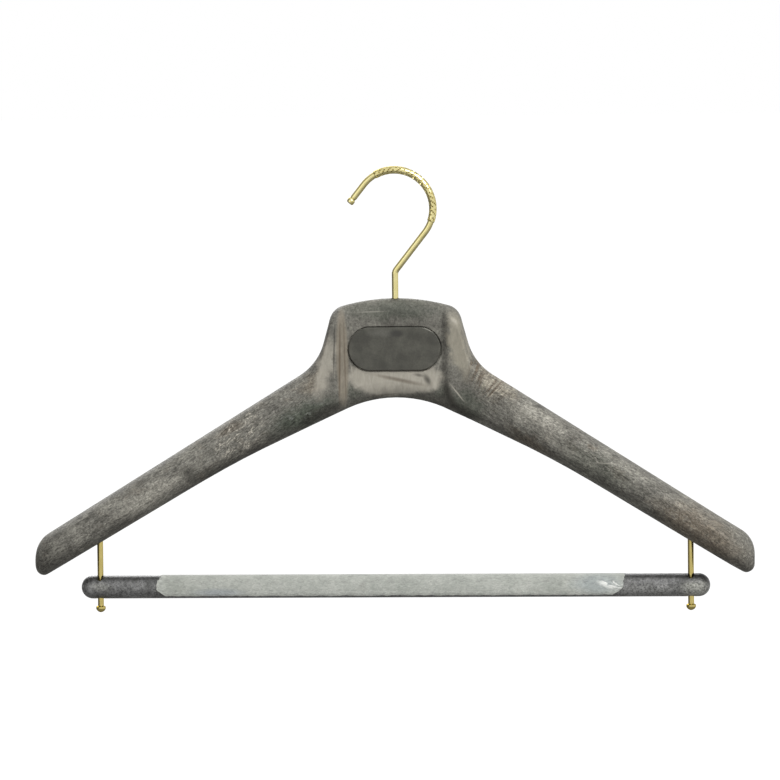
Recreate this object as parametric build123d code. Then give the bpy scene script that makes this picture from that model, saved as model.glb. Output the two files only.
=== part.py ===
from build123d import *
import os
from math import acos, cos, degrees, radians, sin, tan

# A contoured suit hanger: a hollow two-shell moulding with forward-swept arms, a swivelling
# wire hook in its neck, and a round trouser bar that slides on two headed pins under the arms.
# Sizes are in millimetres. Front is -Y, up is +Z, and the hook opens to -X.
# The pieces are drawn with the top of the neck at z = 0 and then lowered, so that the origin
# is the place under the hook's crown where the rail bears.

os.makedirs("parts", exist_ok=True)

# Body, as its outline is seen from the front
hanger_width = 453.0
crown_round = 124.0
crown_slope = 15.5
neck_corner_x = 39.6
neck_corner_round = 11.0
neck_root_x = 49.2
neck_side_height = 34.9
neck_root_round = 36.0
arm_slope = 31.6
tip_height = 25.05
tip_top_round = 17.4
tip_under_round = 5.0
under_slope = 30.3
arm_bend_x = 101.9
arm_bend_round = 600.0
arch_slope = 24.9
arch_round = 75.0

# Body, as its outline is seen from above
panel_depth = 18.0
panel_edge_x = 29.8
panel_edge_round = 3.0
rim_depth = 26.8
rim_edge_x = 34.2
rim_round = 4.0
sweep_start_x = 48.0
sweep_round = 60.0
front_sweep = 14.8
back_sweep = 8.8
tip_front_round = 18.0
tip_back_round = 14.0

# Body section, wall and inner ribs
edge_round = 10.5
corner_share = 0.45
curve_share = 0.5523
wall = 2.4
rib_thickness = 1.6
tip_zone = 25.0
tip_step = 0.05
neck_station_shares = (
    0, 0.2, 0.4, 0.52, 0.57, 0.6, 0.625, 0.655, 0.69, 0.72, 0.75, 0.78, 0.81, 0.835,
    0.86, 0.885, 0.91, 0.94, 0.97, 1.0, 1.05, 1.11, 1.18, 1.28, 1.45,
)
arm_station_shares = (0.1, 0.25, 0.42, 0.6, 0.8)
middle_stations = 3
tip_station_shares = (1.0, 0.78, 0.6, 0.46, 0.34, 0.24, 0.165, 0.1, 0.055, 0.025, 0.01)
rib_shares = (0.18, 0.42, 0.66)

# Locating pegs of the rear shell and their bosses
peg_radius = 2.0
peg_length = 6.0
peg_clearance = 0.1
peg_boss_radius = 4.0
arm_peg_shares = (0.06, 0.3, 0.54, 0.92)
neck_peg_x = 35.0
neck_peg_drop = 56.0

# Wire hook
wire_radius = 2.0
grip_zone_radius = 2.4
grip_zone_edge = 0.35
hook_round = 24.5
hook_rise = 16.8
hook_bend_round = 5.0
hook_lean = 52.0
hook_tip_lean = 51.6
hook_tip_run = 11.5
grip_zone_start = -20.0
grip_zone_end = 120.0
bead_radius = 2.45
bead_length = 3.2
bead_edge = 0.9
bead_dimple = 0.9
hook_head_radius = 4.0
hook_head_height = 2.6
hook_head_round = 1.0

# Bush and washer that carry the hook in the neck
running_clearance = 0.06
press_clearance = 0.02
bush_radius = 3.5
bush_top_drop = 1.4
bush_flange_radius = 6.0
bush_flange_height = 1.6
crown_hole_radius = 2.8
saddle_half_width = 11.0
saddle_height = 22.0
washer_radius = 5.0
washer_bore_clearance = 0.15
washer_height = 1.0

# Badge on the neck's front panel
badge_width = 58.2
badge_height = 27.2
badge_thickness = 2.3
badge_edge = 0.5
badge_drop = 31.6
badge_pocket_depth = 1.0
badge_gap = 0.8
badge_peg_radius = 1.5
badge_peg_length = 3.4
badge_peg_x = 17.0
badge_boss_radius = 3.5
badge_boss_length = 3.0

# Headed pins and the knurled inserts that hold them in the arms
pin_x = 186.4
pin_radius = 1.85
pin_head_radius = 3.0
pin_head_height = 4.1
pin_head_rim = 1.2
pin_head_cone = 0.6
pin_head_drop = 4.6
pin_top_inset = 1.0
insert_radius = 3.5
insert_length = 14.0
insert_cover = 2.6
insert_groove_depth = 0.4
insert_groove_width = 1.6
pin_boss_radius = 6.2
pin_hole_clearance = 0.2

# Trouser bar
bar_length = 397.0
bar_radius = 7.3
bar_wall = 2.0
bar_drop = 179.9
bar_hole_clearance = 0.08
bar_hole_flare = 1.2
bar_slot_length = 11.6
bar_slot_depth = 3.4
bar_boss_radius = 5.0
bar_peg_radius = 1.5
bar_peg_boss_radius = 2.8
bar_peg_length = 3.0
bar_peg_shares = (-0.62, -0.31, 0, 0.31, 0.62)
bar_end_clearance = 0.8

# Flocked grip coat on the bar
coat_thickness = 0.22
coat_left = 147.8
coat_right = 145.2
coat_bare_height = 1.6

# Derived sizes
half_span = hanger_width / 2
overrun = hanger_width
hook_centre_z = hook_rise + hook_round / cos(radians(hook_lean))
rail_seat_z = hook_centre_z + hook_round - grip_zone_radius


def closed_outline(right_side):
    """A closed outline from its right side: points with their corner rounds, mirrored in X."""
    left_side = [(-x, y, r) for x, y, r in reversed(right_side) if x]
    corners = list(right_side) + left_side
    points = [(x, y) for x, y, r in corners]
    rounds = [r for x, y, r in corners]
    return make_face(FilletPolyline(*points, radius=rounds, close=True))


def front_outline():
    """The body seen from the front, with height drawn along Y."""
    crown_z = crown_round * (1 / cos(radians(crown_slope)) - 1)
    corner_z = crown_z - neck_corner_x * tan(radians(crown_slope))
    root_z = corner_z - neck_side_height
    tip_z = root_z - (half_span - neck_root_x) * tan(radians(arm_slope))
    under_z = tip_z - tip_height
    bend_z = under_z + (half_span - arm_bend_x) * tan(radians(under_slope))
    arch_z = bend_z + arm_bend_x * tan(radians(arch_slope))
    return closed_outline([
        (0, crown_z, crown_round),
        (neck_corner_x, corner_z, neck_corner_round),
        (neck_root_x, root_z, neck_root_round),
        (half_span, tip_z, tip_top_round),
        (half_span, under_z, tip_under_round),
        (arm_bend_x, bend_z, arm_bend_round),
        (0, arch_z, arch_round),
    ])


def plan_outline():
    """The body seen from above: recessed panel, rims and arms that sweep forward."""
    panel_y = panel_depth / 2
    rim_y = rim_depth / 2
    sweep_run = half_span - sweep_start_x
    front_tip_y = -rim_y - sweep_run * tan(radians(front_sweep))
    back_tip_y = rim_y - sweep_run * tan(radians(back_sweep))
    return closed_outline([
        (panel_edge_x, -panel_y, panel_edge_round),
        (rim_edge_x, -rim_y, rim_round),
        (sweep_start_x, -rim_y, sweep_round),
        (half_span, front_tip_y, tip_front_round),
        (half_span, back_tip_y, tip_back_round),
        (sweep_start_x, rim_y, sweep_round),
        (rim_edge_x, rim_y, rim_round),
        (panel_edge_x, panel_y, panel_edge_round),
    ])


def span_at(outline, x):
    """The lowest and highest point of an outline on the line at x."""
    cut = outline.intersect(Edge.make_line((x, -overrun), (x, overrun)))
    heights = [vertex.Y for edge in cut for vertex in edge.vertices()]
    return min(heights), max(heights)


def corner_curve(start, corner, end):
    """A quarter of an oval from start to end, drawn towards the corner."""
    first = Vector(start) + (Vector(corner) - Vector(start)) * curve_share
    second = Vector(end) + (Vector(corner) - Vector(end)) * curve_share
    return Edge.make_bezier(start, first, second, end)


def section_wire(x, plan, front, rounding):
    """The body's section at x: a box between the two outlines with oval corners."""
    low_y, high_y = span_at(plan, x)
    low_z, high_z = span_at(front, x)
    run_y = corner_share * (high_y - low_y)
    run_z = min(rounding, corner_share * (high_z - low_z))
    corners = [
        ((low_y, low_z), (0, run_z), (run_y, 0)),
        ((high_y, low_z), (-run_y, 0), (0, run_z)),
        ((high_y, high_z), (0, -run_z), (-run_y, 0)),
        ((low_y, high_z), (run_y, 0), (0, -run_z)),
    ]
    edges = []
    previous = None
    for (y, z), arrive, leave in corners:
        start = (x, y + arrive[0], z + arrive[1])
        end = (x, y + leave[0], z + leave[1])
        if previous:
            edges.append(Edge.make_line(previous, start))
        else:
            first = start
        edges.append(corner_curve(start, (x, y, z), end))
        previous = end
    edges.append(Edge.make_line(previous, first))
    return Wire(edges)


def stations():
    """Places along the right half where a section is taken, from just across the middle."""
    neck = [share * neck_root_x for share in neck_station_shares]
    across = [-x for x in reversed(neck[1:middle_stations])]
    tip_start = half_span - tip_zone
    arm = [neck[-1] + share * (tip_start - neck[-1]) for share in arm_station_shares]
    tip = [half_span - share * tip_zone for share in tip_station_shares]
    return across + neck + arm + tip + [half_span - tip_step]


def half_hull(inset):
    """The right half of the body's full form, or of the space inside its wall."""
    front = front_outline()
    plan = plan_outline()
    rounding = edge_round
    if inset:
        front = offset(front, -inset)
        plan = offset(plan, -inset)
        rounding = edge_round - inset
    shrink = (half_span - inset) / half_span
    wires = [section_wire(x * shrink, plan, front, rounding) for x in stations()]
    return split(Solid.make_loft(wires), Plane.YZ, keep=Keep.TOP)


def mid_y(x):
    """Where the parting surface lies at x, outside its bend."""
    slope = (tan(radians(front_sweep)) + tan(radians(back_sweep))) / 2
    return -max(abs(x) - sweep_start_x, 0) * slope


def front_region():
    """Everything in front of the parting surface, which follows the arms' middle."""
    reach_x = half_span + tip_zone
    path = [
        (-reach_x, mid_y(reach_x)),
        (-sweep_start_x, 0),
        (sweep_start_x, 0),
        (reach_x, mid_y(reach_x)),
    ]
    parting = FilletPolyline(*path, radius=[sweep_round, sweep_round])
    closing = Polyline(path[-1], (reach_x, -overrun), (-reach_x, -overrun), path[0])
    region = make_face(parting.edges() + closing.edges())
    return Pos(0, 0, -overrun) * extrude(region, overrun * 2)


def post_y(x, y, z, radius, length):
    """A round post along Y that starts at y and runs towards the back."""
    return Pos(x, y, z) * Rot(-90, 0, 0) * Cylinder(
        radius, length, align=(Align.CENTER, Align.CENTER, Align.MIN)
    )


def post_z(x, y, z, radius, length):
    """A round post that stands on z."""
    return Pos(x, y, z) * Cylinder(
        radius, length, align=(Align.CENTER, Align.CENTER, Align.MIN)
    )


front_face = front_outline()
arm_run = half_span - neck_root_x
pin_y = mid_y(pin_x)
pin_under_z, pin_over_z = span_at(front_face, pin_x)
insert_z = pin_under_z + insert_radius * tan(radians(under_slope)) + insert_cover
bar_z = -bar_drop
head_top_z = bar_z - bar_radius - pin_head_drop


def peg_places():
    """Where the right half's locating pegs stand, as (x, z)."""
    places = [(neck_peg_x, -neck_peg_drop)]
    for share in arm_peg_shares:
        x = neck_root_x + share * (arm_run - tip_top_round)
        places.append((x, sum(span_at(front_face, x)) / 2))
    return places


def inner_structure():
    """Saddle, ribs and bosses that stay standing inside the right half's wall."""
    pieces = [
        Pos(0, 0, -saddle_height) * Box(
            saddle_half_width * 2, rim_depth, saddle_height,
            align=(Align.CENTER, Align.CENTER, Align.MIN),
        ),
        post_z(pin_x, pin_y, pin_under_z - tip_height / 2, pin_boss_radius,
               pin_over_z - pin_under_z + tip_height),
        post_y(badge_peg_x, -panel_depth / 2, -badge_drop, badge_boss_radius,
               wall + badge_boss_length),
    ]
    for share in rib_shares:
        x = neck_root_x + share * arm_run
        pieces.append(Pos(x, 0, 0) * Box(rib_thickness, overrun, overrun))
    for x, z in peg_places():
        pieces.append(post_y(x, -overrun, z, peg_boss_radius, overrun * 2))
    return pieces


def stadium(width, height):
    """A flat shape with round ends."""
    return SlotOverall(width, height)


def badge_blank(width, height, start, thickness):
    """A stadium plate on the panel, from depth start towards the front."""
    plane = Plane(origin=(0, start, -badge_drop), x_dir=(1, 0, 0), z_dir=(0, -1, 0))
    return extrude(plane * stadium(width, height), thickness)


def body_cuts():
    """What is cut from the right half: badge pocket, bush seat, insert seat and pin hole."""
    pocket_y = -panel_depth / 2 + badge_pocket_depth
    return [
        badge_blank(badge_width + badge_gap * 2, badge_height + badge_gap * 2,
                    pocket_y, badge_pocket_depth + rim_depth),
        post_y(badge_peg_x, pocket_y - wall, -badge_drop,
               badge_peg_radius + press_clearance, wall + badge_peg_length),
        post_z(0, 0, -saddle_height, bush_radius + press_clearance,
               saddle_height - bush_top_drop),
        post_z(0, 0, -bush_top_drop, crown_hole_radius, bush_top_drop + wall),
        post_z(pin_x, pin_y, insert_z, insert_radius + press_clearance, insert_length),
        post_z(pin_x, pin_y, insert_z - tip_height, pin_radius + pin_hole_clearance,
               tip_height),
    ]


def body_shells():
    """The front and the rear shell of the hollow body, made as right halves and mirrored."""
    body = half_hull(0) - (half_hull(wall) - inner_structure()) - body_cuts()
    region = front_region()
    sockets = []
    pegs = []
    for x, z in peg_places():
        tip_y = mid_y(x) - peg_length
        sockets.append(post_y(x, tip_y - peg_clearance, z, peg_radius + peg_clearance,
                              peg_length * 2))
        pegs.append(post_y(x, tip_y, z, peg_radius, peg_length * 2))
    front = (body & region) - sockets
    rear = (body - region) + pegs
    return front + mirror(front, about=Plane.YZ), rear + mirror(rear, about=Plane.YZ)


def hook_curve():
    """The wire's centre line in the XZ plane, from its head to its tip."""
    lean = radians(hook_lean)
    tip_lean = radians(hook_tip_lean)
    centre = (0, hook_centre_z)
    start = (0, -saddle_height - bush_flange_height - washer_height)
    join = (hook_round * sin(lean), hook_centre_z - hook_round * cos(lean))
    shank = FilletPolyline(start, (0, hook_rise), join, radius=[hook_bend_round])
    turn = 180 + hook_tip_lean - hook_lean
    arc = CenterArc(centre, hook_round, hook_lean - 90, turn)
    leave = (-hook_round * sin(tip_lean), hook_centre_z + hook_round * cos(tip_lean))
    end = (leave[0] - hook_tip_run * cos(tip_lean), leave[1] - hook_tip_run * sin(tip_lean))
    return Plane.XZ * Wire(shank.edges() + arc.edges() + Line(leave, end).edges())


def swept_wire(path, radius):
    """A round wire along a path."""
    return sweep(Plane(path ^ 0) * Circle(radius), path=path)


def hook():
    """Bent wire with a rolled grip zone, a beaded tip and an upset head at its foot."""
    path = hook_curve()
    wire = swept_wire(path, wire_radius)
    zone_path = Plane.XZ * CenterArc((0, hook_centre_z), hook_round, grip_zone_start,
                                     grip_zone_end - grip_zone_start)
    zone = swept_wire(zone_path, grip_zone_radius)
    zone = chamfer(zone.edges().filter_by(GeomType.CIRCLE), grip_zone_edge)
    bead_plane = Plane(origin=path @ 1, z_dir=path % 1)
    bead = bead_plane * Cylinder(bead_radius, bead_length,
                                 align=(Align.CENTER, Align.CENTER, Align.MIN))
    bead = fillet(bead.edges().filter_by(GeomType.CIRCLE), bead_edge)
    bead = bead - bead_plane * Pos(0, 0, bead_length) * Sphere(bead_dimple)
    head_z = (path @ 0).Z - hook_head_height
    head = post_z(0, 0, head_z, hook_head_radius, hook_head_height)
    head = fillet(head.edges().group_by(Axis.Z)[0], hook_head_round)
    return wire + zone + bead + head


def hook_washer():
    """Thrust washer between the hook's head and the bush."""
    z = -saddle_height - bush_flange_height - washer_height
    disc = post_z(0, 0, z, washer_radius, washer_height)
    return disc - post_z(0, 0, z, wire_radius + washer_bore_clearance, washer_height)


def hook_bush():
    """Flanged sleeve in which the shank turns."""
    sleeve = post_z(0, 0, -saddle_height, bush_radius, saddle_height - bush_top_drop)
    flange_z = -saddle_height - bush_flange_height
    flange = post_z(0, 0, flange_z, bush_flange_radius, bush_flange_height)
    bore = post_z(0, 0, flange_z, wire_radius + running_clearance,
                  bush_flange_height + saddle_height)
    return sleeve + flange - bore


def badge():
    """Bare oval badge with two pegs on its back."""
    back_y = -panel_depth / 2 + badge_pocket_depth
    plate = badge_blank(badge_width, badge_height, back_y, badge_thickness)
    front_edges = plate.edges().group_by(Axis.Y)[0]
    plate = fillet(front_edges, badge_edge)
    for side in (-1, 1):
        plate = plate + post_y(side * badge_peg_x, back_y, -badge_drop,
                               badge_peg_radius, badge_peg_length)
    return plate


def pin(side):
    """Headed pin: a straight shank with a coned and domed head at its foot."""
    top_z = insert_z + insert_length - pin_top_inset
    foot_z = head_top_z - pin_head_height
    rim_low_z = head_top_z - pin_head_cone - pin_head_rim
    profile = [
        (0, foot_z),
        (pin_head_radius, rim_low_z),
        (pin_head_radius, head_top_z - pin_head_cone),
        (pin_radius, head_top_z),
        (pin_radius, top_z),
        (0, top_z),
    ]
    dome_bulge = (pin_head_height - pin_head_cone - pin_head_rim) / 2
    dome = SagittaArc(profile[0], profile[1], -dome_bulge / 2)
    sides = Polyline(*profile[1:], profile[0])
    shape = revolve(Plane.XZ * make_face(dome.edges() + sides.edges()), Axis.Z)
    return Pos(side * pin_x, pin_y, 0) * shape


def pin_insert(side):
    """Grooved metal insert pressed in the arm's boss round the pin's upper end."""
    body = post_z(side * pin_x, pin_y, insert_z, insert_radius, insert_length)
    body = body - post_z(side * pin_x, pin_y, insert_z,
                         pin_radius + press_clearance, insert_length)
    groove_z = insert_z + (insert_length - insert_groove_width) / 2
    ring = post_z(side * pin_x, pin_y, groove_z, insert_radius, insert_groove_width)
    core = post_z(side * pin_x, pin_y, groove_z, insert_radius - insert_groove_depth,
                  insert_groove_width)
    return body - (ring - core)


def capsule(radius, length):
    """A round bar along X with half-ball ends, centred on the bar's axis."""
    straight = Rot(0, 90, 0) * Cylinder(radius, length - radius * 2)
    ends = [Pos(side * (length / 2 - radius), 0, 0) * Sphere(radius) for side in (-1, 1)]
    return straight + ends


def bar_halves():
    """The hollow bar's halves, with slotted pin holes, bosses and locating pegs."""
    cavity = capsule(bar_radius - bar_wall, bar_length - bar_wall * 2)
    peg_places_x = [share * bar_length / 2 for share in bar_peg_shares]
    for side in (-1, 1):
        cavity = cavity - post_z(side * pin_x, 0, -bar_radius, bar_boss_radius, bar_radius * 2)
    for x in peg_places_x:
        cavity = cavity - post_y(x, -bar_radius, 0, bar_peg_boss_radius, bar_radius * 2)
    bar = capsule(bar_radius, bar_length) - cavity
    hole_radius = pin_radius + bar_hole_clearance
    flare = Cone(hole_radius, hole_radius + bar_hole_flare * 2, bar_hole_flare * 2,
                 align=(Align.CENTER, Align.CENTER, Align.MIN))
    slot = Rot(0, 0, 90) * extrude(stadium(bar_slot_length, hole_radius * 2), bar_slot_depth)
    cuts = []
    for side in (-1, 1):
        place = Pos(side * pin_x, 0, 0)
        cuts.append(place * post_z(0, 0, -bar_radius, hole_radius, bar_radius * 2))
        cuts.append(place * Pos(0, 0, bar_radius - bar_slot_depth) * slot)
        cuts.append(place * Pos(0, 0, bar_hole_flare - bar_radius) * Rot(180, 0, 0) * flare)
    bar = bar - cuts
    halves_box = Box(bar_length, bar_radius, bar_radius * 2,
                     align=(Align.CENTER, Align.MAX, Align.CENTER))
    front = bar & halves_box
    rear = bar - halves_box
    for x in peg_places_x:
        front = front - post_y(x, -bar_peg_length - peg_clearance, 0,
                               bar_peg_radius + peg_clearance, bar_peg_length + peg_clearance)
        rear = rear + post_y(x, -bar_peg_length, 0, bar_peg_radius, bar_peg_length * 2)
    place = Pos(0, pin_y, bar_z)
    return place * front, place * rear


def bar_grip_coat():
    """Flocked coat round the bar's middle, open along a bare strip underneath."""
    inner_radius = bar_radius + press_clearance
    outer_radius = inner_radius + coat_thickness
    length = coat_left + coat_right
    tube = Rot(0, 90, 0) * (Cylinder(outer_radius, length) - Cylinder(inner_radius, length))
    half_gap = acos(1 - coat_bare_height / bar_radius)
    reach = outer_radius * 2
    wedge = Polyline((0, 0), (reach * sin(half_gap), -reach * cos(half_gap)),
                     (-reach * sin(half_gap), -reach * cos(half_gap)), close=True)
    gap = Pos(-length / 2, 0, 0) * extrude(Plane.YZ * make_face(wedge), length)
    centre_x = (coat_right - coat_left) / 2
    return Pos(centre_x, pin_y, bar_z) * (tube - gap)


def write(name, shape):
    """Lower a piece so that the rail seat is the origin, and write it."""
    export_step(Pos(0, 0, -rail_seat_z) * shape, f"parts/{name}.step")


front_shell, rear_shell = body_shells()
bar_front, bar_rear = bar_halves()
write("front_shell", front_shell)
write("rear_shell", rear_shell)
write("hook", hook())
write("hook_washer", hook_washer())
write("hook_bush", hook_bush())
write("badge", badge())
write("bar_front_half", bar_front)
write("bar_rear_half", bar_rear)
write("bar_grip_coat", bar_grip_coat())
for side_name, side in (("left", -1), ("right", 1)):
    write(f"{side_name}_pin", pin(side))
    write(f"{side_name}_pin_insert", pin_insert(side))

# Lift and drop of the bar on its pins, for the record of how it moves
end_x = bar_length / 2 - bar_radius
end_under_z = span_at(front_face, end_x)[0]
bar_lift = end_under_z - bar_radius / cos(radians(under_slope)) - bar_z - bar_end_clearance
print(f"rail seat above neck {rail_seat_z:.3f}, bar lift {bar_lift:.3f}, drop {pin_head_drop:.3f}")
coat_half_gap = degrees(acos(1 - coat_bare_height / bar_radius))
print(f"pins at x {pin_x:.3f}, y {pin_y:.3f}, coat half gap {coat_half_gap:.2f}")
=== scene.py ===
import math

import bmesh
import bpy
from mathutils import Matrix, Vector, noise


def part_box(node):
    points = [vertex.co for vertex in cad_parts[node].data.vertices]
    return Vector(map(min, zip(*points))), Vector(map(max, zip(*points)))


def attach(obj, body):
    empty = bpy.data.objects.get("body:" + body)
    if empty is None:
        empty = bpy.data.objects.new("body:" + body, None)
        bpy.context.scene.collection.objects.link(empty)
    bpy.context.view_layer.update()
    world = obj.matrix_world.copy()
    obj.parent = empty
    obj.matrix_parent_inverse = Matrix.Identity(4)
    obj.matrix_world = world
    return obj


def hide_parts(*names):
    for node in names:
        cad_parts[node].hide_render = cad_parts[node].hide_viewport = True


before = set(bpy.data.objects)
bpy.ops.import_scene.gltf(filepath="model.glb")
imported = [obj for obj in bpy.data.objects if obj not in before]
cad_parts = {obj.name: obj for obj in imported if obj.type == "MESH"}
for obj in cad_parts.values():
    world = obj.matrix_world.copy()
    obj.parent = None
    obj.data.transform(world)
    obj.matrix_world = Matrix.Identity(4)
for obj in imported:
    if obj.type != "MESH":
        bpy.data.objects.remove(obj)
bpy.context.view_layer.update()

# The hook is one length of 4 mm brass wire, bent cold on a jig and polished. A pattern of short
# slanted dents is rolled into its crown so that it grips the rail, and its tip is turned to a
# small bead with a dimple. Its foot is headed over a washer inside the neck.
millimetre = 0.001


def linear(colour):
    """An sRGB hex colour as linear red, green, blue and alpha."""
    parts = [int(colour[i:i + 2], 16) / 255 for i in (1, 3, 5)]
    return tuple(p / 12.92 if p <= 0.04045 else ((p + 0.055) / 1.055) ** 2.4 for p in parts) + (1,)


def add(material, kind, settings, sockets):
    """Adds a node, with its settings by name and its sockets as values or links.

    A socket goes by its name, or by its number where names repeat. On a mix, 0 is the share, 2
    and 3 are the two values, and 6 and 7 are the two colours.
    """
    made = material.node_tree.nodes.new(kind)
    for name, value in settings.items():
        setattr(made, name, value)
    for key, value in sockets.items():
        if isinstance(value, bpy.types.NodeSocket):
            material.node_tree.links.new(value, made.inputs[key])
        else:
            made.inputs[key].default_value = value
    return made


def start_material(name):
    """An empty material, its surface shader and the position on the piece in millimetres."""
    material = bpy.data.materials.new(name)
    material.use_nodes = True
    material.node_tree.nodes.clear()
    shader = add(material, "ShaderNodeBsdfPrincipled", {}, {})
    add(material, "ShaderNodeOutputMaterial", {}, {"Surface": shader.outputs["BSDF"]})
    where = add(material, "ShaderNodeTexCoord", {}, {})
    place = add(material, "ShaderNodeVectorMath", {"operation": "SCALE"},
                {0: where.outputs["Object"], "Scale": 1 / millimetre})
    return material, shader, place.outputs["Vector"]


def brass_finish(name, low_tone, high_tone, polish):
    """Brass under a thin haze, with the fine lines that its last polish left."""
    # Real polishing lines are too fine to show, so they are drawn 0.5 mm apart.
    haze_run, line_gap, line_depth, haze_dulls = 6, 0.5, 0.1, 0.12
    metal, shader, place = start_material(name)
    haze = add(metal, "ShaderNodeTexNoise", {},
               {"Vector": place, "Scale": 1 / haze_run, "Detail": 3})
    tone = add(metal, "ShaderNodeMix", {"data_type": "RGBA"},
               {0: haze.outputs["Fac"], 6: linear(low_tone), 7: linear(high_tone)})
    rough = add(metal, "ShaderNodeMapRange", {},
                {"Value": haze.outputs["Fac"], "To Min": polish, "To Max": polish + haze_dulls})
    lines = add(metal, "ShaderNodeTexNoise", {},
                {"Vector": place, "Scale": 1 / line_gap, "Detail": 2})
    relief = add(metal, "ShaderNodeBump", {},
                 {"Height": lines.outputs["Fac"], "Strength": 0.12,
                  "Distance": line_depth * millimetre})
    metal.node_tree.links.new(tone.outputs[2], shader.inputs["Base Color"])
    metal.node_tree.links.new(rough.outputs["Result"], shader.inputs["Roughness"])
    metal.node_tree.links.new(relief.outputs["Normal"], shader.inputs["Normal"])
    shader.inputs["Metallic"].default_value = 1
    shader.inputs["Specular Tint"].default_value = linear("#6b5a2c")
    return metal


def carry_on(shape, ring, run, radius):
    """Draws a wire on from its last ring by a run, to a new radius."""
    made = bmesh.ops.extrude_edge_only(shape, edges=ring)["geom"]
    ends = [part for part in made if isinstance(part, bmesh.types.BMVert)]
    bmesh.ops.translate(shape, vec=run, verts=ends)
    middle = sum((end.co for end in ends), Vector()) / len(ends)
    size = radius / (ends[0].co - middle).length
    bmesh.ops.scale(shape, vec=(size, size, size), space=Matrix.Translation(-middle), verts=ends)
    return [part for part in made if isinstance(part, bmesh.types.BMEdge)
            and part.verts[0] in ends and part.verts[1] in ends]


def bend_on(shape, ring, centre, axis, angle, steps):
    """Bends a wire on from its last ring round a centre."""
    made = bmesh.ops.spin(shape, geom=ring, cent=centre, axis=axis, angle=math.radians(angle),
                          steps=steps, use_merge=False, use_duplicate=False)
    return [part for part in made["geom_last"] if isinstance(part, bmesh.types.BMEdge)]


def heading(angle):
    """The wire's direction at an angle round the crown, in degrees up from its right side."""
    return Vector((-math.sin(math.radians(angle)), 0, math.cos(math.radians(angle))))


def settle(name, shape, material):
    """Turns a shape drawn in millimetres into a smooth piece in metres, with its material."""
    same_point, crease = 0.0005, math.radians(38)
    bmesh.ops.remove_doubles(shape, verts=shape.verts, dist=same_point)
    bmesh.ops.recalc_face_normals(shape, faces=shape.faces)
    bmesh.ops.scale(shape, vec=(millimetre, millimetre, millimetre), verts=shape.verts)
    for face in shape.faces:
        face.smooth = True
    mesh = bpy.data.meshes.new(name)
    shape.to_mesh(mesh)
    shape.free()
    mesh.set_sharp_from_angle(angle=crease)
    mesh.materials.append(material)
    piece = bpy.data.objects.new(name, mesh)
    bpy.context.collection.objects.link(piece)
    return piece


# Polished brass: a pale greenish gold with clear reflections, darker where it turns away.
# Tarnished brass: the same metal gone brown and dull, as in the bottoms of the rolled dents.
brass = brass_finish("polished_brass", "#cfc282", "#e4dba6", 0.16)
tarnish = brass_finish("tarnished_brass", "#6f6234", "#8a7b45", 0.42)

# The wire from its foot to its tip. The head and the bead are each a row of runs along the wire
# and the radius at the end of each run. The lean of the long straight and of the tip is in
# degrees from the level, and the grip's start and end are angles round the crown.
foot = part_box("hook")[0].z / millimetre
wire_radius, ring_sides = 2.0, 32
foot_radius, head_profile = 3.0, ((0.3, 3.7), (0.7, 4.0), (1.6, 4.0), (0, wire_radius))
neck_top, corner_rise = -78.695, 16.8
bend_radius, bend_steps, lean = 5.0, 8, 52.0
crown_radius, crown_steps, tip_lean, tip_run = 24.5, 9, 51.6, 10.6
grip_radius, grip_edge, grip_start, grip_end = 2.4, 0.35, -20.0, 120.0
bead_profile = ((0.3, 1.75), (0.6, 1.75), (0.25, 2.0), (0.35, 2.25), (0.5, 2.36), (1.3, 2.36),
                (0.45, 2.25), (0.3, 1.95), (0.15, 1.5), (0, 0.95), (-0.6, 0.8), (-0.25, 0.4))

shape = bmesh.new()
bmesh.ops.create_circle(shape, cap_ends=True, segments=ring_sides, radius=foot_radius,
                        matrix=Matrix.Translation((0, 0, foot)))
ring = list(shape.edges)
for rise, radius in head_profile:
    ring = carry_on(shape, ring, (0, 0, rise), radius)
head_height = sum(rise for rise, radius in head_profile)
bend_corner = neck_top + corner_rise
bend_start = bend_corner - bend_radius * math.tan(math.radians((90 - lean) / 2))
ring = carry_on(shape, ring, (0, 0, bend_start - foot - head_height), wire_radius)
ring = bend_on(shape, ring, (bend_radius, 0, bend_start), (0, 1, 0), 90 - lean, bend_steps)
straight = crown_radius * math.tan(math.radians(lean)) - (bend_corner - bend_start)
ring = carry_on(shape, ring, heading(lean - 90) * straight, wire_radius)
crown = Vector((0, 0, bend_corner + crown_radius / math.cos(math.radians(lean))))
ring = bend_on(shape, ring, crown, (0, -1, 0), grip_start + 90 - lean, crown_steps)

# The rolled zone stands a little proud of the wire. In each row round it two faces in seven are
# pressed in. They shift by two faces a row, so the dents slant, and each sixth row stays plain.
dent_run, dent_border, dent_depth = 0.9, 0.14, 0.2
dent_faces, dent_repeat, dent_shift, plain_row = 2, 7, 2, 6
edge_turn = math.degrees(grip_edge / crown_radius)
ring = carry_on(shape, ring, (0, 0, 0), grip_radius - grip_edge)
ring = carry_on(shape, ring, heading(grip_start) * grip_edge, grip_radius)
plain = set(shape.faces)
turn = grip_end - grip_start - edge_turn * 2
rows = round(math.radians(turn) * crown_radius / dent_run)
ring = bend_on(shape, ring, crown, (0, -1, 0), turn, rows)
grip = [face for face in shape.faces if face not in plain]
ring = carry_on(shape, ring, heading(grip_end - edge_turn) * grip_edge, grip_radius - grip_edge)
ring = carry_on(shape, ring, (0, 0, 0), wire_radius)
ring = bend_on(shape, ring, crown, (0, -1, 0), 90 + tip_lean - grip_end, crown_steps)
falling = heading(90 + tip_lean)
ring = carry_on(shape, ring, falling * tip_run, wire_radius)
for run, radius in bead_profile:
    ring = carry_on(shape, ring, falling * run, radius)
bmesh.ops.edgeloop_fill(shape, edges=ring)
bmesh.ops.recalc_face_normals(shape, faces=shape.faces)
dents = []
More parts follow.
